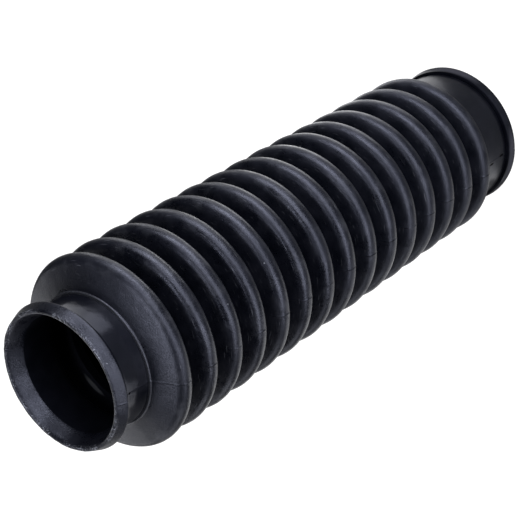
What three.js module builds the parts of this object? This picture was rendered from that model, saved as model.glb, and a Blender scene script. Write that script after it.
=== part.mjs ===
// Rubber bellows for a front fork: one hollow moulding with a cuff at each end.
// Millimetres, +Z up along the axis. It stands on the end face of its large cuff,
// with the origin in the middle of that face and the small cuff at the top.
import * as THREE from 'three';

// Facets
const facetsRound = 24;
const outerCrestSteps = 4;
const innerCrestSteps = 2;
const rootSteps = 2;
const filletSteps = 3;

// Fork tubes that the cuffs grip
const smallTubeRadius = 20.5;
const largeTubeRadius = 24;

// Folds
const foldCount = 15;
const foldPitch = 12.68;
const foldWall = 2;
const tubeClearance = 1.1;
const lowestFoldDepth = 8;
const highestFoldDepth = 10.4;
const crestRounding = 3.4;
const valleyRounding = 1.4;
const thinnestRounding = 0.4;

// Large cuff, from its end face to the foot of the lowest fold
const largeCuffLength = 19;
const largeCuffWall = 2.4;
const flangeWidth = 4;
const flangeHeight = 1.6;
const flangeEdge = 0.6;

// Small cuff, from the root of the highest fold to the mouth
const smallCuffLength = 16.6;
const neckWall = 2.3;
const rimHeight = 2.9;
const rimEdge = 0.4;
const rimTaperLength = 3.6;
const rimTaper = 1.45;
const lipWidth = 1;
const leadInLength = 5.3;

// Rubber
const rubber = new THREE.MeshStandardMaterial({ color: 0x24252c, roughness: 0.48, metalness: 0 });

const valleyRadius = smallTubeRadius + tubeClearance + foldWall;
const largeCuffRadius = largeTubeRadius + largeCuffWall;
const neckRadius = smallTubeRadius + neckWall;
const rimRadius = neckRadius + rimHeight;

const lowestCrestZ = largeCuffLength + foldPitch / 2;
const highestRootZ = largeCuffLength + foldCount * foldPitch;
const mouthZ = highestRootZ + smallCuffLength;

function point(radius, z) {
  return new THREE.Vector2(radius, z);
}

// Points of an arc in the section plane, with angles from the outward radius towards +Z.
function arc(centre, radius, from, to, steps) {
  return Array.from({ length: steps + 1 }, (_, step) => {
    const angle = from + ((to - from) * step) / steps;
    return point(centre.x + radius * Math.cos(angle), centre.y + radius * Math.sin(angle));
  });
}

// A bend is one crest or root of the wall. Its rounding is the outer surface's, about a
// centre on the inner side of the wall at a crest and on the outer side at a root.
function crest(radius, z) {
  return { isCrest: true, centre: point(radius - crestRounding, z), rounding: crestRounding, wall: foldWall };
}

function root(radius, z, wall) {
  return { isCrest: false, centre: point(radius + valleyRounding, z), rounding: valleyRounding, wall };
}

// All bends from the large cuff's foot to the small cuff's neck.
function wallBends() {
  const bends = [root(largeCuffRadius, largeCuffLength, largeCuffWall)];
  for (let fold = 0; fold < foldCount; fold += 1) {
    const share = fold / (foldCount - 1);
    const depth = THREE.MathUtils.lerp(lowestFoldDepth, highestFoldDepth, share);
    const crestZ = lowestCrestZ + fold * foldPitch;
    const isHighest = fold === foldCount - 1;
    bends.push(crest(valleyRadius + depth, crestZ));
    const rootWall = isHighest ? valleyRadius - smallTubeRadius : foldWall;
    bends.push(root(valleyRadius, crestZ + foldPitch / 2, rootWall));
  }
  return bends;
}

// Radius of a bend on one surface of the wall.
function surfaceRounding(bend, isInner) {
  if (!isInner) return bend.rounding;
  return bend.isCrest ? Math.max(bend.rounding - bend.wall, thinnestRounding) : bend.rounding + bend.wall;
}

// Angle that both bends turn through to reach the straight flank between them.
function flankAngle(bend, nextBend, isInner) {
  const [crestBend, rootBend] = bend.isCrest ? [bend, nextBend] : [nextBend, bend];
  const across = crestBend.centre.x - rootBend.centre.x;
  const along = Math.abs(crestBend.centre.y - rootBend.centre.y);
  const roundings = surfaceRounding(bend, isInner) + surfaceRounding(nextBend, isInner);
  const reach = Math.min(roundings / Math.hypot(across, along), 1);
  return Math.acos(-reach) - Math.atan2(along, across);
}

// One surface of the folded wall, from the large cuff's foot up to the neck.
function foldedSurface(bends, isInner) {
  return bends.flatMap((bend, index) => {
    const below = index > 0 ? flankAngle(bends[index - 1], bend, isInner) : 0;
    const above = index < bends.length - 1 ? flankAngle(bend, bends[index + 1], isInner) : 0;
    const radius = surfaceRounding(bend, isInner);
    if (bend.isCrest) {
      return arc(bend.centre, radius, -below, above, isInner ? innerCrestSteps : outerCrestSteps);
    }
    return arc(bend.centre, radius, Math.PI + below, Math.PI - above, rootSteps);
  });
}

// Outside of the large cuff, from its end face up to the foot of the folds.
function largeCuffOutside() {
  const flangeRadius = largeCuffRadius + flangeHeight;
  return [
    point(flangeRadius - flangeEdge, 0),
    point(flangeRadius, flangeEdge),
    point(flangeRadius, flangeWidth - flangeEdge),
    point(flangeRadius - flangeEdge, flangeWidth),
    point(largeCuffRadius, flangeWidth),
  ];
}

// Outside of the small cuff: a step down to the neck, the neck's fillet, the rim and the lip.
function smallCuffOutside() {
  const stepHeight = Math.abs(valleyRadius - neckRadius);
  const rimZ = mouthZ - rimTaperLength;
  const filletCentre = point(rimRadius, rimZ - rimEdge - rimHeight);
  return [
    point(neckRadius, highestRootZ + stepHeight),
    ...arc(filletCentre, rimHeight, Math.PI, Math.PI / 2, filletSteps),
    point(rimRadius, rimZ),
    point(rimRadius - rimTaper, mouthZ),
  ];
}

// Mouth of the small cuff, from the lip's inner edge down to the bore.
function mouth() {
  return [
    point(rimRadius - rimTaper - lipWidth, mouthZ),
    point(smallTubeRadius, mouthZ - leadInLength),
  ];
}

// The closed section is turned about the axis, then stood up so that the axis is +Z.
function bellowsGeometry() {
  const bends = wallBends();
  const section = [
    ...largeCuffOutside(),
    ...foldedSurface(bends, false),
    ...smallCuffOutside(),
    ...mouth(),
    ...foldedSurface(bends, true).reverse(),
    point(largeTubeRadius, 0),
  ];
  section.push(section[0].clone());
  return new THREE.LatheGeometry(section, facetsRound).rotateX(Math.PI / 2);
}

const bellows = new THREE.Mesh(bellowsGeometry(), rubber);
bellows.name = 'bellows';

const gaiter = new THREE.Group();
gaiter.add(bellows);

export default gaiter;
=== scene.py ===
# Rubber bellows for a front fork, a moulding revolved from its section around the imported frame.
# Metres, +Z up along the axis. Sizes in the dictionaries are in millimetres unless they say more.
import math

import bpy
from mathutils import Matrix, Vector


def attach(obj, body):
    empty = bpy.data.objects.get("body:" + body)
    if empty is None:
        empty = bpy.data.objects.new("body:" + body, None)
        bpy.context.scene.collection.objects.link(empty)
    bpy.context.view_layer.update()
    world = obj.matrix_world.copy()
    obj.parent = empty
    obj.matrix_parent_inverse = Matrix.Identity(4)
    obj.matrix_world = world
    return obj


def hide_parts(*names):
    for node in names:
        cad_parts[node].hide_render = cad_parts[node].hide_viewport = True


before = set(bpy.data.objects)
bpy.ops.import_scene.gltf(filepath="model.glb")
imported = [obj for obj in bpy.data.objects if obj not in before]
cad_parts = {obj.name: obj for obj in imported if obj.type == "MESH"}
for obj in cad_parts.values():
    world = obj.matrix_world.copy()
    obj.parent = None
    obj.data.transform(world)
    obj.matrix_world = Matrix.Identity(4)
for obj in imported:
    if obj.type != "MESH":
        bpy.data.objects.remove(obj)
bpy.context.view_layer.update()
mm = 0.001


def linearColour(hexValue):
    channels = [int(hexValue[i : i + 2], 16) / 255 for i in (1, 3, 5)]
    linear = [c / 12.92 if c <= 0.04045 else ((c + 0.055) / 1.055) ** 2.4 for c in channels]
    return (*linear, 1.0)


def addNode(tree, kind, inputs=(), **settings):
    # Inputs are a list in the order of the sockets in use, or a dictionary by socket name.
    # A node among them is linked from its first output in use.
    node = tree.nodes.new(kind)
    for name, value in settings.items():
        setattr(node, name, value)
    if isinstance(inputs, dict):
        filled = [(node.inputs[name], value) for name, value in inputs.items()]
    else:
        filled = list(zip([socket for socket in node.inputs if socket.enabled], inputs))
    for socket, value in filled:
        if isinstance(value, bpy.types.Node):
            value = next(output for output in value.outputs if output.enabled)
        if isinstance(value, bpy.types.NodeSocket):
            tree.links.new(value, socket)
        elif value is not None:
            socket.default_value = value
    return node


mathNode = "ShaderNodeMath"
vectorNode = "ShaderNodeVectorMath"
rangeNode = "ShaderNodeMapRange"
joinNode = "ShaderNodeCombineXYZ"

# The section of the wall, as the moulder's drawing would give it.
wall = {
    "foldCount": 15,
    "foldPitch": 12.68,
    "lowestCrestZ": 25.34,
    "lowestCrestRadius": 31.6,
    "highestCrestRadius": 34.0,
    "crestRounding": 3.4,
    "valleyRadius": 23.6,
    "valleyRounding": 1.4,
    "thickness": 2.0,
    "thinnestRounding": 0.4,
    "crestSteps": 12,
    "rootSteps": 6,
    "flankEase": 0.05,
    "innerCrestSteps": 3,
    "innerRootSteps": 3,
}
largeCuff = {
    "radius": 26.4,
    "bore": 24.0,
    "boreEdge": 0.4,
    "footZ": 19.0,
    "steps": 6,
    "flangeWidth": 4.0,
    "flangeHeight": 1.6,
    "flangeEdge": 0.4,
    "flangeEdgeSteps": 4,
    "flangeTaper": 0.5,
    "flangeSide": ((0.3, 0.1), (0.6, 0.4)),  # shares of its width and of its taper
    "flangeTopEdge": 0.18,
    "flangeTopTurn": 0.2,  # radians
    "flangeTopSteps": 3,
    "undercut": 0.35,
    "undercutMiddle": 0.4,
    "undercutRise": 0.8,
}
smallCuff = {
    "bore": 20.5,
    "boreSteps": 3,
    "neckRadius": 22.8,
    "neckSteps": 4,
    "rootZ": 209.2,
    "beadCentre": (23.14, 209.02),
    "beadRadius": 0.45,
    "beadTurn": (-8, 120),  # degrees
    "beadSteps": 8,
    "beadFoot": (23.85, 209.05),
    "beadFootRounding": 0.3,
    "beadFootTurn": 0.26,  # radians
    "beadTop": (0.03, 0.35),
    "rimRadius": 25.7,
    "rimZ": 221.95,
    "rimRounding": 0.35,
    "rimTurn": (0.2, 0.35),  # radians
    "rimSteps": 5,
    "rimSideSteps": 4,
    "filletRadius": 2.9,
    "filletTurn": 0.12,  # radians
    "filletSteps": 12,
    "lipRadius": 24.25,
    "lipInnerRadius": 23.25,
    "lipEdge": 0.1,
    "lipDrop": 0.15,
    "lipOutset": 0.05,
    "lipInset": 0.08,
    "lipSteps": 3,
    "mouthZ": 225.8,
    "leadInZ": 220.5,
    "leadInEase": (0.05, 0.1),
    "leadInSteps": 5,
}


def arcPoints(centre, radius, start, end, steps):
    points = []
    for step in range(steps + 1):
        angle = start + (end - start) * step / steps
        points.append((centre[0] + radius * math.cos(angle), centre[1] + radius * math.sin(angle)))
    return points


def linePoints(start, end, steps):
    points = []
    for step in range(1, steps):
        share = step / steps
        points.append((start[0] + (end[0] - start[0]) * share, start[1] + (end[1] - start[1]) * share))
    return points


def flankPoints(start, end):
    # Two points close to the ends, which keep the shading of the flank between them flat.
    ease = wall["flankEase"]
    shares = (ease, 1 - ease)
    return [(start[0] + (end[0] - start[0]) * s, start[1] + (end[1] - start[1]) * s) for s in shares]


def wallBends(isInner):
    # Crests and roots in turn, each as (isCrest, centre, outer rounding, wall thickness).
    valley = wall["valleyRadius"]
    rounding = wall["valleyRounding"]
    cuffWall = largeCuff["radius"] - largeCuff["bore"]
    thickness = wall["thickness"]
    crestRounding = wall["crestRounding"]
    growth = wall["highestCrestRadius"] - wall["lowestCrestRadius"]
    bends = [(False, (largeCuff["radius"] + rounding, largeCuff["footZ"]), rounding, cuffWall)]
    for fold in range(wall["foldCount"]):
        share = fold / (wall["foldCount"] - 1)
        crestRadius = wall["lowestCrestRadius"] + growth * share
        crestZ = wall["lowestCrestZ"] + fold * wall["foldPitch"]
        isHighest = fold == wall["foldCount"] - 1
        rootWall = valley - smallCuff["bore"] if isHighest else thickness
        bends.append((True, (crestRadius - crestRounding, crestZ), crestRounding, thickness))
        bends.append((False, (valley + rounding, crestZ + wall["foldPitch"] / 2), rounding, rootWall))
    if not isInner:
        # Outside, the highest flank runs almost straight into the bead at the foot of the neck.
        bends[-1] = (False, smallCuff["beadFoot"], smallCuff["beadFootRounding"], rootWall)
    return bends


def bendRounding(bend, isInner):
    isCrest, _, rounding, thickness = bend
    if not isInner:
        return rounding
    return max(rounding - thickness, wall["thinnestRounding"]) if isCrest else rounding + thickness


def flankAngle(bend, nextBend, isInner):
    # The angle that both bends turn through to reach the straight flank between them.
    crest, root = (bend, nextBend) if bend[0] else (nextBend, bend)
    across = crest[1][0] - root[1][0]
    along = abs(crest[1][1] - root[1][1])
    roundings = bendRounding(bend, isInner) + bendRounding(nextBend, isInner)
    reach = min(roundings / math.hypot(across, along), 1)
    return math.acos(-reach) - math.atan2(along, across)


def foldedSurface(isInner):
    bends = wallBends(isInner)
    points = []
    for index, bend in enumerate(bends):
        below = flankAngle(bends[index - 1], bend, isInner) if index > 0 else 0
        above = flankAngle(bend, bends[index + 1], isInner) if index < len(bends) - 1 else 0
        radius = bendRounding(bend, isInner)
        if bend[0]:
            steps = wall["innerCrestSteps"] if isInner else wall["crestSteps"]
            arc = arcPoints(bend[1], radius, -below, above, steps)
        else:
            steps = wall["innerRootSteps"] if isInner else wall["rootSteps"]
            meetsBead = index == len(bends) - 1 and not isInner
            end = math.pi + smallCuff["beadFootTurn"] if meetsBead else math.pi - above
            arc = arcPoints(bend[1], radius, math.pi + below, end, steps)
        if points and not isInner:
            points += flankPoints(points[-1], arc[0])
        points += arc
    return points


def largeCuffOutside():
    # The flange tapers a little towards the folds, and the cuff is drawn in above it.
    radius = largeCuff["radius"]
    flangeRadius = radius + largeCuff["flangeHeight"]
    width = largeCuff["flangeWidth"]
    edge = largeCuff["flangeEdge"]
    taper = largeCuff["flangeTaper"]
    points = arcPoints((flangeRadius - edge, edge), edge, -math.pi / 2, 0, largeCuff["flangeEdgeSteps"])
    for widthShare, taperShare in largeCuff["flangeSide"]:
        points.append((flangeRadius - taper * taperShare, width * widthShare))
    topEdge = largeCuff["flangeTopEdge"]
    topCentre = (flangeRadius - taper - topEdge, width - topEdge)
    steps = largeCuff["flangeTopSteps"]
    points += arcPoints(topCentre, topEdge, largeCuff["flangeTopTurn"], math.pi / 2, steps)
    drawnIn = (radius - largeCuff["undercut"], width)
    points += linePoints(points[-1], drawnIn, steps)
    rise = largeCuff["undercutRise"]
    middle = radius - largeCuff["undercut"] * largeCuff["undercutMiddle"]
    points += [drawnIn, (middle, width + rise / 2), (radius, width + rise)]
    points += linePoints(points[-1], (radius, largeCuff["footZ"]), largeCuff["steps"])
    return points


def smallCuffOutside():
    # Up from the highest root: the bead, the neck, the fillet, the rim and its side.
    neck = smallCuff["neckRadius"]
    beadStart, beadEnd = [math.radians(degrees) for degrees in smallCuff["beadTurn"]]
    bead = smallCuff["beadRadius"]
    points = arcPoints(smallCuff["beadCentre"], bead, beadStart, beadEnd, smallCuff["beadSteps"])
    beadTop = points[-1][1]
    points += [(neck, beadTop + rise) for rise in smallCuff["beadTop"]]
    fillet = smallCuff["filletRadius"]
    rimZ = smallCuff["rimZ"]
    edge = smallCuff["rimRounding"]
    centre = (smallCuff["rimRadius"], rimZ - edge - fillet)
    filletEnd = math.pi / 2 + smallCuff["filletTurn"]
    points += linePoints(points[-1], (neck, centre[1]), smallCuff["neckSteps"])
    points += arcPoints(centre, fillet, math.pi, filletEnd, smallCuff["filletSteps"])
    rimStart, rimEnd = smallCuff["rimTurn"]
    centre = (smallCuff["rimRadius"] - edge, rimZ)
    points += arcPoints(centre, edge, rimStart - math.pi / 2, rimEnd, smallCuff["rimSteps"])
    points += linePoints(points[-1], lipOutline()[0], smallCuff["rimSideSteps"])
    return points


def lipOutline():
    mouthZ = smallCuff["mouthZ"]
    outer = smallCuff["lipRadius"]
    inner = smallCuff["lipInnerRadius"]
    edge = smallCuff["lipEdge"]
    drop = smallCuff["lipDrop"]
    points = [(outer + smallCuff["lipOutset"], mouthZ - drop), (outer - edge, mouthZ)]
    points += linePoints(points[-1], (inner + edge, mouthZ), smallCuff["lipSteps"])
    points += [(inner + edge, mouthZ), (inner - smallCuff["lipInset"], mouthZ - drop)]
    return points


def mouthCone(start):
    bore = smallCuff["bore"]
    leadInZ = smallCuff["leadInZ"]
    outward, upward = smallCuff["leadInEase"]
    points = linePoints(start, (bore, leadInZ), smallCuff["leadInSteps"])
    return points + [(bore + outward, leadInZ + upward)]


def insideWall():
    # Down from the cone: the small bore, the folds from within and the large bore.
    bore = smallCuff["bore"]
    points = [(bore, smallCuff["leadInZ"] - smallCuff["leadInEase"][1])]
    points += linePoints(points[0], (bore, smallCuff["rootZ"]), smallCuff["boreSteps"])
    points += foldedSurface(True)[::-1]
    cuffBore = largeCuff["bore"]
    edge = largeCuff["boreEdge"]
    return points + [(cuffBore, edge), (cuffBore + edge, 0.0)]


def sectionObject():
    # The closed outline as loose vertices: x is the radius and z the height. Masks say what each is on.
    outside = largeCuffOutside() + foldedSurface(False) + smallCuffOutside()
    lip = lipOutline()
    cone = mouthCone(lip[-1])
    outline = outside + lip + cone + insideWall()
    outline.append(outline[0])
    mesh = bpy.data.meshes.new("bellowsSection")
    mesh.from_pydata([(r * mm, 0, z * mm) for r, z in outline], [], [])
    last = len(outline) - 1
    masks = {
        "outerSide": [*range(len(outside)), last],
        "lipTrim": range(len(outside), len(outside) + len(lip)),
        "innerWall": range(len(outside) + len(lip) + len(cone), last),
    }
    for name, indices in masks.items():
        mask = mesh.attributes.new(name, "FLOAT", "POINT")
        for index in indices:
            mask.data[index].value = 1.0
    section = bpy.data.objects.new("moulded_bellows", mesh)
    bpy.context.scene.collection.objects.link(section)
    print("section points", len(outline))
    return section


# How the section is revolved, and what the mould leaves on the wall.
moulding = {
    "columns": 168,
    "columnCrowding": 0.9,
    "partingAngle": 230.4,  # degrees
    "partingRidge": 0.16,
    "partingWidth": 0.28,
    "partingBumps": 420.0,  # per metre
    "bumpGain": 2.6,
    "bumpBase": 0.55,
    "mouldStep": 0.07,
    "radialWander": 0.25,
    "axialWander": 0.25,
    "wanderSize": 38.0,
    "wanderStart": (12.0, 40.0),
    "wanderEnd": (200.0, 225.8),
    "trimDepth": 0.3,
    "trimSize": 1.1,
    "trimBias": 0.4,
    "noiseRoughness": 0.5,
    "creaseAngle": 50,  # degrees
    "mergeDistance": 0.001,
    "seed": 4.0,
}


def revolveTree(values):
    tree = bpy.data.node_groups.new("revolvedMoulding", "GeometryNodeTree")
    interface = tree.interface
    interface.new_socket(name="Section", in_out="INPUT", socket_type="NodeSocketGeometry")
    interface.new_socket(name="Geometry", in_out="OUTPUT", socket_type="NodeSocketGeometry")
    kinds = {int: "NodeSocketInt", float: "NodeSocketFloat"}
    sockets = {}
    for name, value in values.items():
        kind = kinds.get(type(value), "NodeSocketMaterial")
        sockets[name] = interface.new_socket(name=name, in_out="INPUT", socket_type=kind).identifier

    # A grid with one row for each point of the section and one column for each step round.
    given = addNode(tree, "NodeGroupInput").outputs
    size = addNode(tree, "GeometryNodeAttributeDomainSize", [given["Section"]], component="MESH")
    columnPoints = addNode(tree, mathNode, [given["Columns"], 1], operation="ADD")
    grid = addNode(tree, "GeometryNodeMeshGrid", {"Vertices X": size, "Vertices Y": columnPoints})
    index = addNode(tree, "GeometryNodeInputIndex")
    row = addNode(tree, mathNode, [index, 0.5], operation="ADD")
    row = addNode(tree, mathNode, [row, columnPoints], operation="DIVIDE")
    row = addNode(tree, mathNode, [row], operation="FLOOR")
    rowStart = addNode(tree, mathNode, [row, columnPoints], operation="MULTIPLY")
    column = addNode(tree, mathNode, [index, rowStart], operation="SUBTRACT")

    sample = [given["Section"], addNode(tree, "GeometryNodeInputPosition"), row]
    point = addNode(tree, "GeometryNodeSampleIndex", sample, data_type="FLOAT_VECTOR", domain="POINT")
    radius, _, height = addNode(tree, "ShaderNodeSeparateXYZ", [point]).outputs
    masks = {}
    masked = grid.outputs["Mesh"]
    for name in ("outerSide", "lipTrim", "innerWall"):
        attribute = addNode(tree, "GeometryNodeInputNamedAttribute", [name], data_type="FLOAT")
        sample = [given["Section"], attribute, row]
        masks[name] = addNode(tree, "GeometryNodeSampleIndex", sample, data_type="FLOAT", domain="POINT")
        stored = {"Geometry": masked, "Name": name, "Value": masks[name]}
        masked = addNode(tree, "GeometryNodeStoreNamedAttribute", stored, data_type="FLOAT", domain="POINT")

    # Columns crowd together at the two parting lines, where the ridge needs them.
    share = addNode(tree, mathNode, [column, given["Columns"]], operation="DIVIDE")
    crowd = addNode(tree, mathNode, [share, 4 * math.pi], operation="MULTIPLY")
    crowd = addNode(tree, mathNode, [crowd], operation="SINE")
    crowding = addNode(tree, mathNode, [given["Column Crowding"], 0.5], operation="MULTIPLY")
    crowd = addNode(tree, mathNode, [crowd, crowding], operation="MULTIPLY")
    turn = addNode(tree, mathNode, [share, 2 * math.pi], operation="MULTIPLY")
    turn = addNode(tree, mathNode, [turn, crowd], operation="SUBTRACT")
    angle = addNode(tree, mathNode, [turn, given["Parting Angle"]], operation="ADD")
    cosine = addNode(tree, mathNode, [angle], operation="COSINE")
    sine = addNode(tree, mathNode, [angle], operation="SINE")
    around = addNode(tree, joinNode, [cosine, sine])
    plain = addNode(tree, vectorNode, [around, radius], operation="SCALE")
    lifted = addNode(tree, joinNode, {"Z": height})
    spot = addNode(tree, vectorNode, [plain, lifted], operation="ADD")

    # Noise for each thing that is uneven, with its size in the wall, its detail and its own seed.
    wanderScale = addNode(tree, mathNode, [1.0, given["Wander Size"]], operation="DIVIDE")
    trimScale = addNode(tree, mathNode, [1.0, given["Trim Size"]], operation="DIVIDE")
    uneven = {}
    for name, scale, detail, seedShift in (
        ("radial", wanderScale, 1.0, 0.0),
        ("axial", wanderScale, 1.0, 5.3),
        ("parting", given["Parting Bumps"], 2.0, 9.1),
        ("trim", trimScale, 3.0, 2.7),
    ):
        seed = addNode(tree, mathNode, [given["Seed"], seedShift], operation="ADD")
        inputs = [spot, seed, scale, detail, moulding["noiseRoughness"]]
        texture = addNode(tree, "ShaderNodeTexNoise", inputs, noise_dimensions="4D")
        uneven[name] = addNode(tree, mathNode, [texture, 0.5], operation="SUBTRACT")

    # Rubber comes out of the mould a little uneven, but both ends stay where they are.
    wander = addNode(tree, mathNode, [uneven["radial"], 2.0], operation="MULTIPLY")
    radialShift = addNode(tree, mathNode, [wander, given["Radial Wander"]], operation="MULTIPLY")
    low, high = [z * mm for z in moulding["wanderStart"]]
    above = addNode(tree, rangeNode, [height, low, high], interpolation_type="SMOOTHSTEP")
    low, high = [z * mm for z in moulding["wanderEnd"]]
    below = addNode(tree, rangeNode, [height, high, low], interpolation_type="SMOOTHSTEP")
    free = addNode(tree, mathNode, [above, below], operation="MULTIPLY")
    axialShift = addNode(tree, mathNode, [uneven["axial"], given["Axial Wander"]], operation="MULTIPLY")
    axialShift = addNode(tree, mathNode, [axialShift, 2.0], operation="MULTIPLY")
    axialShift = addNode(tree, mathNode, [axialShift, free], operation="MULTIPLY")

    # The ridge where the mould halves meet, uneven along its length, and the step between them.
    across = addNode(tree, mathNode, [turn], operation="SINE")
    across = addNode(tree, mathNode, [across, radius], operation="MULTIPLY")
    across = addNode(tree, mathNode, [across, given["Parting Width"]], operation="DIVIDE")
    bell = addNode(tree, mathNode, [across, across], operation="MULTIPLY")
    bell = addNode(tree, mathNode, [bell, -1.0], operation="MULTIPLY")
    bell = addNode(tree, mathNode, [bell], operation="EXPONENT")
    heights = [uneven["parting"], moulding["bumpGain"], moulding["bumpBase"]]
    heights = addNode(tree, mathNode, heights, operation="MULTIPLY_ADD")
    heights = addNode(tree, mathNode, [heights, 0.0], operation="MAXIMUM")
    ridge = addNode(tree, mathNode, [bell, heights], operation="MULTIPLY")
    ridge = addNode(tree, mathNode, [ridge, given["Parting Ridge"]], operation="MULTIPLY")
    side = addNode(tree, rangeNode, [across, -1.0, 1.0, 0.0, -1.0], interpolation_type="SMOOTHSTEP")
    step = addNode(tree, mathNode, [side, given["Mould Step"]], operation="MULTIPLY")
    ridge = addNode(tree, mathNode, [ridge, step], operation="ADD")
    ridge = addNode(tree, mathNode, [ridge, masks["outerSide"]], operation="MULTIPLY")

    # The mouth is trimmed by hand after moulding, which leaves a ragged lip.
    depth = addNode(tree, mathNode, [masks["lipTrim"], given["Trim Depth"]], operation="MULTIPLY")
    ragged = addNode(tree, mathNode, [uneven["trim"], depth], operation="MULTIPLY")
    trimmed = addNode(tree, mathNode, [depth, moulding["trimBias"]], operation="MULTIPLY")
    trimmed = addNode(tree, mathNode, [ragged, trimmed], operation="SUBTRACT")
    trimmed = addNode(tree, mathNode, [trimmed, 0.0], operation="MINIMUM")

    newRadius = addNode(tree, mathNode, [radius, radialShift], operation="ADD")
    outwards = addNode(tree, mathNode, [ridge, ragged], operation="ADD")
    newRadius = addNode(tree, mathNode, [newRadius, outwards], operation="ADD")
    newRadius = addNode(tree, mathNode, [newRadius, given["Largest Radius"]], operation="MINIMUM")
    newHeight = addNode(tree, mathNode, [height, axialShift], operation="ADD")
    newHeight = addNode(tree, mathNode, [newHeight, trimmed], operation="ADD")
    turned = addNode(tree, vectorNode, [around, newRadius], operation="SCALE")
    raised = addNode(tree, joinNode, {"Z": newHeight})
    final = addNode(tree, vectorNode, [turned, raised], operation="ADD")

    shell = addNode(tree, "GeometryNodeSetPosition", {"Geometry": masked, "Position": final})
    merge = {"Geometry": shell, "Distance": moulding["mergeDistance"] * mm}
    merged = addNode(tree, "GeometryNodeMergeByDistance", merge)
    flipped = addNode(tree, "GeometryNodeFlipFaces", [merged])
    shading = {"Geometry": flipped, "Shade Smooth": True}
    smooth = addNode(tree, "GeometryNodeSetShadeSmooth", shading, domain="FACE")
    sharp = [addNode(tree, "GeometryNodeInputMeshEdgeAngle"), math.radians(moulding["creaseAngle"])]
    isSharp = addNode(tree, mathNode, sharp, operation="GREATER_THAN")
    shading = {"Geometry": smooth, "Selection": isSharp, "Shade Smooth": False}
    creased = addNode(tree, "GeometryNodeSetShadeSmooth", shading, domain="EDGE")
    real = addNode(tree, "GeometryNodeRealizeInstances", [creased])
    painted = {"Geometry": real, "Material": given["Rubber"]}
    addNode(tree, "NodeGroupOutput", [addNode(tree, "GeometryNodeSetMaterial", painted)])
    return tree, sockets


def revolvedBellows(material):
    section = sectionObject()
    values = {
        "Columns": moulding["columns"],
        "Column Crowding": moulding["columnCrowding"],
        "Parting Angle": math.radians(moulding["partingAngle"]),
        "Parting Ridge": moulding["partingRidge"] * mm,
        "Parting Width": moulding["partingWidth"] * mm,
        "Parting Bumps": moulding["partingBumps"],
        "Mould Step": moulding["mouldStep"] * mm,
        "Radial Wander": moulding["radialWander"] * mm,
        "Axial Wander": moulding["axialWander"] * mm,
        "Wander Size": moulding["wanderSize"] * mm,
        "Largest Radius": wall["highestCrestRadius"] * mm,
        "Trim Depth": moulding["trimDepth"] * mm,
        "Trim Size": moulding["trimSize"] * mm,
        "Seed": moulding["seed"],
        "Rubber": material,
    }
    tree, sockets = revolveTree(values)
    modifier = section.modifiers.new("revolve", "NODES")
    modifier.node_group = tree
    for name, value in values.items():
        modifier[sockets[name]] = value
    evaluated = section.evaluated_get(bpy.context.evaluated_depsgraph_get())
    mesh = bpy.data.meshes.new_from_object(evaluated)
    section.modifiers.remove(modifier)
    section.data = mesh
    mesh.name = "moulded_bellows"
    triangles = sum(len(p.vertices) - 2 for p in mesh.polygons)
    print("bellows revolved,", triangles, "triangles")
    return section


# Carbon-black rubber, compression moulded and dusty from the shelf: near black with a cold tint,
# satin, so that the shine on each crest is broad, with a fine grain in it and a ragged edge.
# The grooves, the inside and the top face of the flange step have their shine tinted dark as painted
# shade, where the folds and the bore shut out the light; the parting line and the nicks are dulled as
# marks.
rubber = {
    "dark": "#030408",
    "light": "#090a10",
    "shineTint": "#dbe1ff",
    "dullAndShadeTint": "#24252c",
    "dust": "#8b8e9a",
    "ior": 1.4,
    "scratchShare": 0.13,
    "dustShare": 0.35,
    "flashShare": 0.5,
    "bloomAndSheen": 0.05,
    "beadHighlight": 0.06,
    "bloomAndSheenRadii": (29.5, 32.0),
    "roughness": (0.3, 0.44),
    "satinRange": (0.38, 0.62),
    "innerRoughness": 0.6,
    "nickRoughness": 0.8,
    "nickDepth": 0.36,
    "driftHeights": (20.0, 200.0),
    "drift": (0.05, -0.04),
    "mottleHeight": 0.17,
    "streakHeight": 0.022,
    "grainHeight": 0.06,
    "grainRoughness": 0.5,
    "smoothSkin": 0.75,
    "grooveShade": 0.85,
    "tickDullness": 0.8,
    "innerShade": 0.95,
    "speckSpacing": 4.0,
    "speckRadius": 0.24,
    "grooveRadius": 25.5,
    "crestRadius": 30.5,
    "grooveHeights": (20.0, 202.9),
    "beadRadius": 23.95,
    "meanRadius": 32.0,
    "tickWidth": 0.3,
    "tickCore": 0.4,
}

# Noise in the rubber: its size, or its length round the axis and its width, and the levels at
# which it starts to show and shows in full. Grain and flash are coarser than the real ones, which
# are too fine to show.
patterns = {
    "mottle": {"size": 7.0, "detail": 2.0, "roughness": 0.5, "shows": (0.3, 0.7)},
    "streak": {"length": 9.0, "size": 2.4, "detail": 2.0, "roughness": 0.5},
    "grain": {"size": 0.5, "detail": 2.0, "roughness": 0.6},
    "scratch": {"length": 5.0, "size": 0.3, "detail": 1.0, "roughness": 0.5, "shows": (0.7, 0.76)},
    "tickGaps": {"size": 10 / 3, "detail": 1.0, "roughness": 0.5, "shows": (0.46, 0.54)},
    "dustClouds": {"size": 6.25, "detail": 3.0, "roughness": 0.5, "shows": (0.56, 0.7)},
    "flash": {"size": 0.45, "detail": 2.0, "roughness": 0.5, "shows": (0.52, 0.66)},
    "flashGaps": {"size": 7.692, "detail": 1.0, "roughness": 0.5, "shows": (0.4, 0.52)},
    "bloomAndSheen": {"size": 7.692, "detail": 4.0, "roughness": 0.65, "shows": (0.5, 0.75)},
}

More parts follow.
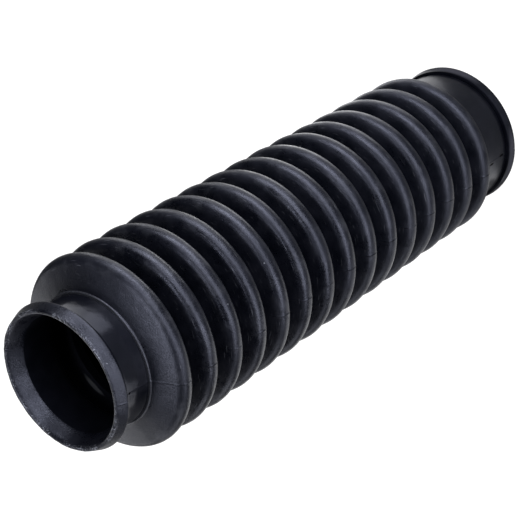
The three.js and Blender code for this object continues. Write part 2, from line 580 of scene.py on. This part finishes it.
# Parts of the outside with a skin of their own, by the heights where each starts, is full, is
# full for the last time and ends. Heights below zero are under the end face.
zones = {
    "neck": {"heights": (208.8, 209.6, 220.4, 221.2), "roughness": 0.22},
    "flank": {"heights": (202.9, 205.0, 208.0, 208.8), "roughness": 0.46},
    "cuff": {"heights": (-2.0, -1.0, 17.0, 19.0), "roughness": 0.26},
    "band": {"heights": (-2.0, -1.0, 3.4, 3.8), "roughness": 0.34},
    # The top face of the flange step gets painted shade: its shine is tinted dark, where the corner shuts
    # out the light.
    "step": {"heights": (3.4, 3.8, 4.3, 4.6), "roughness": None},
    "bead": {"heights": (208.7, 209.0, 209.4, 209.6), "roughness": None},
}

# Single marks: a torn chip of flash on the lip, a painted glint inside the mouth where an inner fold
# catches the light, painted sheen on two sides of the flange, and nicks in the rim and the large cuff.
marks = {
    "flashChip": {"place": (-19.4, -15.3, 225.7), "reach": (0.42, 0.42, 0.42), "colour": "#d5d8e0"},
    # A painted glint: a pale streak on the inner wall, standing in for light caught by the inner fold.
    "innerPaintedGlint": {"place": (-6.9, 21.6, 199.15), "reach": (5.2, 5.2, 0.5), "colour": "#3c3e42"},
    # Painted sheen: two pale patches on the flange, lighter where it catches the light.
    "flangePaintedSheenTop": {"place": (21.4, -18.0, 1.8), "reach": (13, 13, 1.9), "colour": "#2a2a31"},
    "flangePaintedSheenSide": {"place": (-19.8, -19.8, 1.8), "reach": (13, 13, 1.9), "colour": "#2a2a31"},
}
nicks = {
    "rimNick": {"place": (-14.5, -17.6, 218.1), "reach": (0.4, 0.4, 0.4), "colour": "#010102"},
    "cuffNickLow": {"place": (-16.6, -20.5, 7.4), "reach": (0.55, 0.5, 1.8), "colour": "#010102"},
    "cuffNickHigh": {"place": (-17.5, -19.8, 14.7), "reach": (0.5, 0.5, 1.5), "colour": "#010102"},
}
markEdge = (1.05, 0.55)  # shares of the reach where a mark fades out and where it is full


def mouldedRubber():
    material = bpy.data.materials.new("moulded_black_rubber")
    material.use_nodes = True
    tree = material.node_tree
    tree.nodes.clear()
    place = addNode(tree, "ShaderNodeTexCoord").outputs["Object"]

    # Round the axis from the parting line, along it and out from it, in metres.
    partingTurn = math.radians(-moulding["partingAngle"])
    turned = addNode(tree, "ShaderNodeMapping", {"Vector": place, "Rotation": (0, 0, partingTurn)})
    ahead, sideways, height = addNode(tree, "ShaderNodeSeparateXYZ", [turned]).outputs
    flat = addNode(tree, vectorNode, [turned, (1, 1, 0)], operation="MULTIPLY")
    outward = addNode(tree, vectorNode, [flat], operation="LENGTH")
    around = addNode(tree, mathNode, [sideways, ahead], operation="ARCTAN2")
    around = addNode(tree, mathNode, [around, rubber["meanRadius"] * mm], operation="MULTIPLY")

    noise = {}
    shown = {}
    for name, pattern in patterns.items():
        size = pattern["size"] * mm
        inputs = {"Vector": place, "Scale": 1 / size}
        if "length" in pattern:
            long = addNode(tree, mathNode, [around, pattern["length"] * mm], operation="DIVIDE")
            high = addNode(tree, mathNode, [height, size], operation="DIVIDE")
            deep = addNode(tree, mathNode, [outward, size], operation="DIVIDE")
            inputs = {"Vector": addNode(tree, joinNode, [long, high, deep]), "Scale": 1.0}
        inputs.update({"Detail": pattern["detail"], "Roughness": pattern["roughness"]})
        noise[name] = addNode(tree, "ShaderNodeTexNoise", inputs)
        if "shows" in pattern:
            shown[name] = addNode(tree, rangeNode, [noise[name], *pattern["shows"]])

    outer, inner, onLip = [
        addNode(tree, "ShaderNodeAttribute", attribute_name=name).outputs["Fac"]
        for name in ("outerSide", "innerWall", "lipTrim")
    ]
    within = {}
    for name, zone in zones.items():
        start, full, fullStill, end = [z * mm for z in zone["heights"]]
        rising = addNode(tree, rangeNode, [height, start, full])
        falling = addNode(tree, rangeNode, [height, end, fullStill])
        within[name] = addNode(tree, mathNode, [rising, falling], operation="MULTIPLY")
    for name in ("neck", "step", "bead"):  # the inside has the same heights, but not these
        within[name] = addNode(tree, mathNode, [within[name], outer], operation="MULTIPLY")
    inBead = addNode(tree, mathNode, [outward, rubber["beadRadius"] * mm], operation="LESS_THAN")
    onBead = addNode(tree, mathNode, [within["bead"], inBead], operation="MULTIPLY")

    onCrest = [outward, rubber["grooveRadius"] * mm, rubber["crestRadius"] * mm]
    onCrest = addNode(tree, rangeNode, onCrest)
    inGroove = addNode(tree, mathNode, [1.0, onCrest], operation="SUBTRACT")
    lowest, highest = [z * mm for z in rubber["grooveHeights"]]
    below = addNode(tree, mathNode, [height, highest], operation="LESS_THAN")
    above = addNode(tree, mathNode, [height, lowest], operation="GREATER_THAN")
    for share in (below, above, outer):
        inGroove = addNode(tree, mathNode, [inGroove, share], operation="MULTIPLY")
    skin = addNode(tree, mathNode, [within["cuff"], within["neck"]], operation="MAXIMUM")
    skin = addNode(tree, mathNode, [skin, rubber["smoothSkin"]], operation="MULTIPLY")
    grained = addNode(tree, mathNode, [1.0, skin], operation="SUBTRACT")

    # The parting line shows as broken dark ticks over the crests.
    width = rubber["tickWidth"] * mm
    fromParting = addNode(tree, mathNode, [sideways], operation="ABSOLUTE")
    tick = addNode(tree, rangeNode, [fromParting, width, width * rubber["tickCore"]])
    for share in (shown["tickGaps"], onCrest, outer):
        tick = addNode(tree, mathNode, [tick, share], operation="MULTIPLY")

    # Scratches on the crests, dust specks on the outside and crumbs of flash on the trimmed lip.
    scratch = addNode(tree, mathNode, [shown["scratch"], onCrest], operation="MULTIPLY")
    specks = {"Vector": place, "Scale": 1 / (rubber["speckSpacing"] * mm), "Randomness": 1.0}
    speck = addNode(tree, "ShaderNodeTexVoronoi", specks, feature="F1")
    speckSize = [shown["dustClouds"], rubber["speckRadius"] / rubber["speckSpacing"]]
    speckSize = addNode(tree, mathNode, speckSize, operation="MULTIPLY")
    dust = addNode(tree, mathNode, [speck, speckSize], operation="LESS_THAN")
    dust = addNode(tree, mathNode, [dust, outer], operation="MULTIPLY")
    flash = addNode(tree, mathNode, [shown["flash"], onLip], operation="MULTIPLY")
    flash = addNode(tree, mathNode, [flash, shown["flashGaps"]], operation="MULTIPLY")
    # Pale bloom on the crest tops: partly dust on the rubber, partly a painted sheen where the crests catch
    # the light.
    nearCrest = addNode(tree, rangeNode, [outward, *[r * mm for r in rubber["bloomAndSheenRadii"]]])
    bloomAndSheen = addNode(tree, mathNode, [shown["bloomAndSheen"], nearCrest], operation="MULTIPLY")
    bloomAndSheen = addNode(tree, mathNode, [bloomAndSheen, rubber["bloomAndSheen"]], operation="MULTIPLY")
    # A painted highlight: the bead is mixed towards pale, so that it shows as a light ring line.
    beadHighlight = addNode(tree, mathNode, [onBead, rubber["beadHighlight"]], operation="MULTIPLY")
    bloomAndSheen = addNode(tree, mathNode, [bloomAndSheen, beadHighlight], operation="MAXIMUM")

    colours = [shown["mottle"], linearColour(rubber["dark"]), linearColour(rubber["light"])]
    colour = addNode(tree, "ShaderNodeMix", colours, data_type="RGBA")
    # The pale dust colour serves the scratches, specks and flash, and also the painted sheen on the crests
    # and the painted highlight on the bead.
    pale = linearColour(rubber["dust"])
    for mask, strength in ((scratch, "scratchShare"), (dust, "dustShare"), (flash, "flashShare")):
        share = addNode(tree, mathNode, [mask, rubber[strength]], operation="MULTIPLY")
        colour = addNode(tree, "ShaderNodeMix", [share, colour, pale], data_type="RGBA")
    colour = addNode(tree, "ShaderNodeMix", [bloomAndSheen, colour, pale], data_type="RGBA")
    nicked = 0.0
    for name, mark in {**marks, **nicks}.items():
        centre = [c * mm for c in mark["place"]]
        reach = [c * mm for c in mark["reach"]]
        away = addNode(tree, vectorNode, [place, centre], operation="SUBTRACT")
        away = addNode(tree, vectorNode, [away, reach], operation="DIVIDE")
        away = addNode(tree, vectorNode, [away], operation="LENGTH")
        spot = addNode(tree, rangeNode, [away, *markEdge])
        colours = [spot, colour, linearColour(mark["colour"])]
        colour = addNode(tree, "ShaderNodeMix", colours, data_type="RGBA")
        if name in nicks:
            nicked = addNode(tree, mathNode, [nicked, spot], operation="MAXIMUM")

    satin = addNode(tree, mathNode, [noise["streak"], noise["mottle"]], operation="ADD")
    satin = addNode(tree, mathNode, [satin, 0.5], operation="MULTIPLY")
    roughness = addNode(tree, rangeNode, [satin, *rubber["satinRange"], *rubber["roughness"]])
    for name, zone in zones.items():
        if zone["roughness"]:
            blend = [within[name], roughness, zone["roughness"]]
            roughness = addNode(tree, "ShaderNodeMix", blend, data_type="FLOAT")
    drift = [height, *[z * mm for z in rubber["driftHeights"]], *rubber["drift"]]
    roughness = addNode(tree, mathNode, [roughness, addNode(tree, rangeNode, drift)], operation="ADD")
    coarse = addNode(tree, mathNode, [noise["grain"], 0.5], operation="SUBTRACT")
    coarse = addNode(tree, mathNode, [coarse, rubber["grainRoughness"]], operation="MULTIPLY")
    coarse = addNode(tree, mathNode, [coarse, grained], operation="MULTIPLY")
    roughness = addNode(tree, mathNode, [roughness, coarse], operation="ADD")
    for mask, skinRoughness in ((inner, "innerRoughness"), (nicked, "nickRoughness")):
        blend = [mask, roughness, rubber[skinRoughness]]
        roughness = addNode(tree, "ShaderNodeMix", blend, data_type="FLOAT")

    # Painted shade: the shine is tinted dark in the grooves, inside the bore and on the flange step; the
    # nicks and the parting ticks are dulled as marks of their own.
    dullAndShade = addNode(tree, mathNode, [within["step"], nicked], operation="MAXIMUM")
    for mask, name in ((inGroove, "grooveShade"), (tick, "tickDullness"), (inner, "innerShade")):
        share = addNode(tree, mathNode, [mask, rubber[name]], operation="MULTIPLY")
        dullAndShade = addNode(tree, mathNode, [dullAndShade, share], operation="MAXIMUM")
    tints = [dullAndShade, linearColour(rubber["shineTint"]), linearColour(rubber["dullAndShadeTint"])]
    shine = addNode(tree, "ShaderNodeMix", tints, data_type="RGBA")

    relief = addNode(tree, mathNode, [noise["grain"], grained], operation="MULTIPLY")
    hollow = [nicked, rubber["nickDepth"] / rubber["grainHeight"]]
    hollow = addNode(tree, mathNode, hollow, operation="MULTIPLY")
    relief = addNode(tree, mathNode, [relief, hollow], operation="SUBTRACT")
    normal = None
    for shape, depth in (
        (relief, "grainHeight"),
        (noise["streak"], "streakHeight"),
        (noise["mottle"], "mottleHeight"),
    ):
        bump = {"Strength": 1.0, "Distance": rubber[depth] * mm, "Height": shape, "Normal": normal}
        normal = addNode(tree, "ShaderNodeBump", bump)
    look = {"Base Color": colour, "Roughness": roughness, "IOR": rubber["ior"]}
    look.update({"Normal": normal, "Specular Tint": shine})
    shader = addNode(tree, "ShaderNodeBsdfPrincipled", look)
    addNode(tree, "ShaderNodeOutputMaterial", [shader])
    print("rubber mixed")
    return material


rubberMaterial = mouldedRubber()
bellows = revolvedBellows(rubberMaterial)
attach(bellows, "root")
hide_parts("bellows")

# A white table to the camera and a grey one to the light, in metres. Reflections show it faintly.
table = {"colour": "#747474", "seen": 0.96, "mirrored": 0.02, "half": 3.0}


def paleFloor():
    mesh = bpy.data.meshes.new("floor")
    half = table["half"]
    corners = [(-half, -half, 0), (half, -half, 0), (half, half, 0), (-half, half, 0)]
    mesh.from_pydata(corners, [], [(0, 1, 2, 3)])
    floor = bpy.data.objects.new("floor", mesh)
    bpy.context.scene.collection.objects.link(floor)
    material = bpy.data.materials.new("white_studio_floor")
    material.use_nodes = True
    tree = material.node_tree
    tree.nodes.clear()
    matt = addNode(tree, "ShaderNodeBsdfDiffuse", {"Color": linearColour(table["colour"])})
    rays = addNode(tree, "ShaderNodeLightPath").outputs
    mirrored = [rays["Is Glossy Ray"], rays["Is Transmission Ray"]]
    mirrored = addNode(tree, mathNode, mirrored, operation="ADD")
    mirrored = addNode(tree, mathNode, [mirrored, table["mirrored"]], operation="MULTIPLY")
    seen = [rays["Is Camera Ray"], table["seen"], mirrored]
    seen = addNode(tree, mathNode, seen, operation="MULTIPLY_ADD")
    glow = addNode(tree, "ShaderNodeEmission", {"Color": (1, 1, 1, 1), "Strength": seen})
    addNode(tree, "ShaderNodeOutputMaterial", [addNode(tree, "ShaderNodeAddShader", [matt, glow])])
    mesh.materials.append(material)
    print("floor laid")


paleFloor()

# The photograph's camera, in metres, with its lens in millimetres. It is rolled, because the
# gaiter lies down there and stands up here.
photoCamera = {
    "location": (0, -0.44621, 0.53846),
    "right": (-0.53106, -0.57591, -0.62153),
    "up": (0.84733, -0.35920, -0.39115),
    "back": (0.00201, -0.73437, 0.67875),
    "lens": 120.21,
    "sensorWidth": 36,
    "clipStart": 0.01,
}


def placeCamera():
    camera = bpy.data.cameras.new("photoCamera")
    camera.lens = photoCamera["lens"]
    camera.sensor_width = photoCamera["sensorWidth"]
    camera.clip_start = photoCamera["clipStart"]
    holder = bpy.data.objects.new("photoCamera", camera)
    axes = [Vector(photoCamera[name]) for name in ("right", "up", "back")]
    turn = Matrix(axes).transposed().to_4x4()
    holder.matrix_world = Matrix.Translation(photoCamera["location"]) @ turn
    bpy.context.scene.collection.objects.link(holder)
    bpy.context.scene.camera = holder
    print("camera placed")


placeCamera()

# Softboxes, in metres: where each stands, the height on the axis that it faces, its width and
# height, and its power in watts.
softboxes = {
    "frontLeft": {"place": (-0.42, -0.95, 0.42), "aim": 0.11, "sides": (0.7, 0.6), "power": 6.8},
    "frontMiddle": {"place": (0.24, -1.0, 0.45), "aim": 0.11, "sides": (0.6, 0.7), "power": 7.5},
    "frontRight": {"place": (0.98, -0.42, 0.3), "aim": 0.11, "sides": (0.5, 0.5), "power": 3.0},
    "frontHigh": {"place": (0.58, -0.74, 0.66), "aim": 0.11, "sides": (0.4, 0.4), "power": 2.0},
    "left": {"place": (-0.95, -0.5, 0.3), "aim": 0.11, "sides": (0.6, 0.4), "power": 3.0},
    "overhead": {"place": (0, -0.06, 1.2), "aim": 0.11, "sides": (0.45, 0.45), "power": 6.3},
    "overheadFront": {"place": (0.25, -0.35, 1.1), "aim": 0.11, "sides": (0.35, 0.35), "power": 2.4},
    "overheadBack": {"place": (-0.19, 0.33, 1.12), "aim": 0.11, "sides": (0.4, 0.4), "power": 3.6},
    "back": {"place": (-0.1, 1.05, 0.4), "aim": 0.11, "sides": (1.2, 0.6), "power": 4.4},
    "backLeft": {"place": (-0.95, 0.45, 0.35), "aim": 0.11, "sides": (0.8, 0.5), "power": 1.85},
    "lowLeft": {"place": (-0.17, -0.2, 0.16), "aim": 0.15, "sides": (0.12, 0.12), "power": 0.14},
    "lowRight": {"place": (0.2, -0.2, 0.15), "aim": 0.15, "sides": (0.2, 0.12), "power": 0.69},
}

# Panels that lie on the floor round the gaiter and shine up, as the white table does.
floorPanels = {
    "panelRight": {"place": (0.3, 0.02, 0.01), "sides": (0.26, 0.2), "power": 0.28},
    "panelFront": {"place": (0.24, -0.18, 0.01), "sides": (0.22, 0.18), "power": 0.28},
    "panelNear": {"place": (0.09, 0, 0.005), "sides": (0.08, 0.12), "power": 0.087},
    "panelLeft": {"place": (-0.1, 0, 0.005), "sides": (0.1, 0.12), "power": 0.034},
    "panelFarLeft": {"place": (-0.22, -0.03, 0.01), "sides": (0.14, 0.2), "power": 0.11},
    "panelFar": {"place": (-0.15, 0.16, 0.01), "sides": (0.2, 0.2), "power": 0.095},
    "panelFarBack": {"place": (-0.22, 0.42, 0.01), "sides": (0.22, 0.26), "power": 0.16},
    "panelCuffRight": {"place": (0.038, -0.014, 0.001), "sides": (0.02, 0.048), "power": 0.0036},
    "panelCuffLeft": {"place": (-0.037, -0.021, 0.001), "sides": (0.018, 0.024), "power": 0.0012},
    "panelBack": {"place": (0.02, 0.32, 0.01), "sides": (0.45, 0.36), "power": 0.1},
}


def hangLamps():
    for name, box in {**softboxes, **floorPanels}.items():
        lamp = bpy.data.lights.new(name, "AREA")
        lamp.shape = "RECTANGLE"
        lamp.size, lamp.size_y = box["sides"]
        lamp.energy = box["power"]
        holder = bpy.data.objects.new(name, lamp)
        holder.location = box["place"]
        away = Vector((0, 0, -1))
        if name in softboxes:
            away = Vector(box["place"]) - Vector((0, 0, box["aim"]))
        holder.rotation_euler = away.to_track_quat("Z", "Y").to_euler()
        holder.visible_camera = False
        bpy.context.scene.collection.objects.link(holder)
    print("lamps hung", len(softboxes) + len(floorPanels))


hangLamps()

# A dim room round the lamps, white to the camera.
room = {"light": 0.02, "seen": 1.0}


def paleWorld():
    world = bpy.data.worlds.new("paleRoom")
    bpy.context.scene.world = world
    world.use_nodes = True
    tree = world.node_tree
    tree.nodes.clear()
    rays = addNode(tree, "ShaderNodeLightPath").outputs
    strength = [rays["Is Camera Ray"], 0.0, 1.0, room["light"], room["seen"]]
    strength = addNode(tree, rangeNode, strength)
    back = addNode(tree, "ShaderNodeBackground", {"Color": (1, 1, 1, 1), "Strength": strength})
    addNode(tree, "ShaderNodeOutputWorld", [back])
    print("room lit")


paleWorld()
bpy.context.scene.view_settings.view_transform = "Standard"
